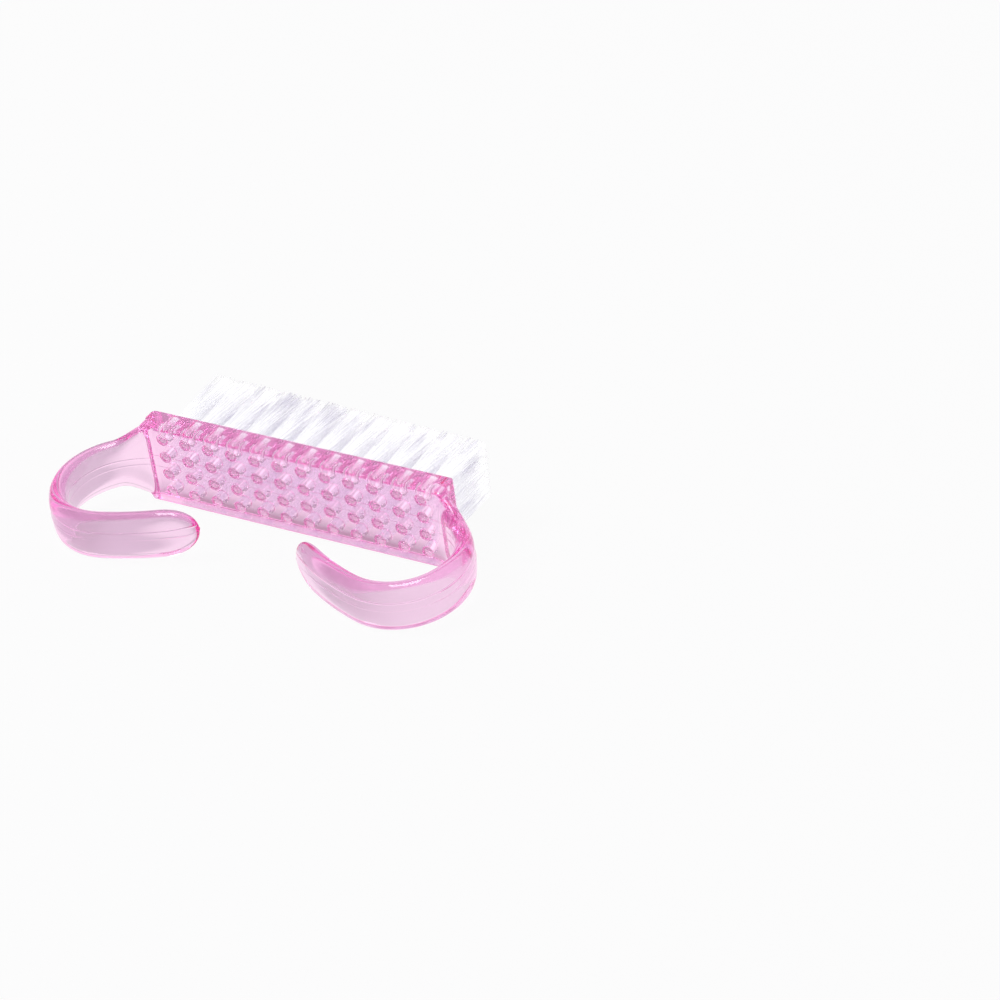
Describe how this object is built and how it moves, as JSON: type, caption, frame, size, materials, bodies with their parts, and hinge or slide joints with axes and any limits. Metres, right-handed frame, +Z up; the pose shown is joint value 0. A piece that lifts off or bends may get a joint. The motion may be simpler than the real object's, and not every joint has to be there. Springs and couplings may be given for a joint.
{
  "type": "nail brush",
  "caption": "Clear pink nail brush: a slim moulded block with a finger hook at each end and a flat-trimmed block of nylon bristles.",
  "frame": {"origin": "on the surface that the brush lies on, under the middle of the whole brush", "axes": "+X along the block, +Y towards the bristle tips, +Z up from the surface. The brush lies on the lower back edge of its block and on the lower edges of its two hooks, so the block and the bristles lean back by 8.4 degrees about X"},
  "size_m": [0.0766, 0.042, 0.0165],
  "materials": {
    "clear_pink_plastic": "clear tinted plastic, moulded with a high polish",
    "nylon_bristle": "clear nylon filament, trimmed flat",
    "anchor_wire": "flat drawn wire"
  },
  "bodies": {
    "root": {"body": "clear_pink_plastic", "wire_anchors": "anchor_wire", "tuft_row1_col01": "nylon_bristle", "tuft_row1_col02": "nylon_bristle", "tuft_row1_col03": "nylon_bristle", "tuft_row1_col04": "nylon_bristle", "tuft_row1_col05": "nylon_bristle", "tuft_row1_col06": "nylon_bristle", "tuft_row1_col07": "nylon_bristle", "tuft_row1_col08": "nylon_bristle", "tuft_row1_col09": "nylon_bristle", "tuft_row1_col10": "nylon_bristle", "tuft_row1_col11": "nylon_bristle", "tuft_row1_col12": "nylon_bristle", "tuft_row2_col01": "nylon_bristle", "tuft_row2_col02": "nylon_bristle", "tuft_row2_col03": "nylon_bristle", "tuft_row2_col04": "nylon_bristle", "tuft_row2_col05": "nylon_bristle", "tuft_row2_col06": "nylon_bristle", "tuft_row2_col07": "nylon_bristle", "tuft_row2_col08": "nylon_bristle", "tuft_row2_col09": "nylon_bristle", "tuft_row2_col10": "nylon_bristle", "tuft_row2_col11": "nylon_bristle", "tuft_row2_col12": "nylon_bristle", "tuft_row3_col01": "nylon_bristle", "tuft_row3_col02": "nylon_bristle", "tuft_row3_col03": "nylon_bristle", "tuft_row3_col04": "nylon_bristle", "tuft_row3_col05": "nylon_bristle", "tuft_row3_col06": "nylon_bristle", "tuft_row3_col07": "nylon_bristle", "tuft_row3_col08": "nylon_bristle", "tuft_row3_col09": "nylon_bristle", "tuft_row3_col10": "nylon_bristle", "tuft_row3_col11": "nylon_bristle", "tuft_row3_col12": "nylon_bristle", "tuft_row4_col01": "nylon_bristle", "tuft_row4_col02": "nylon_bristle", "tuft_row4_col03": "nylon_bristle", "tuft_row4_col04": "nylon_bristle", "tuft_row4_col05": "nylon_bristle", "tuft_row4_col06": "nylon_bristle", "tuft_row4_col07": "nylon_bristle", "tuft_row4_col08": "nylon_bristle", "tuft_row4_col09": "nylon_bristle", "tuft_row4_col10": "nylon_bristle", "tuft_row4_col11": "nylon_bristle", "tuft_row4_col12": "nylon_bristle"}
  },
  "joints": []
}
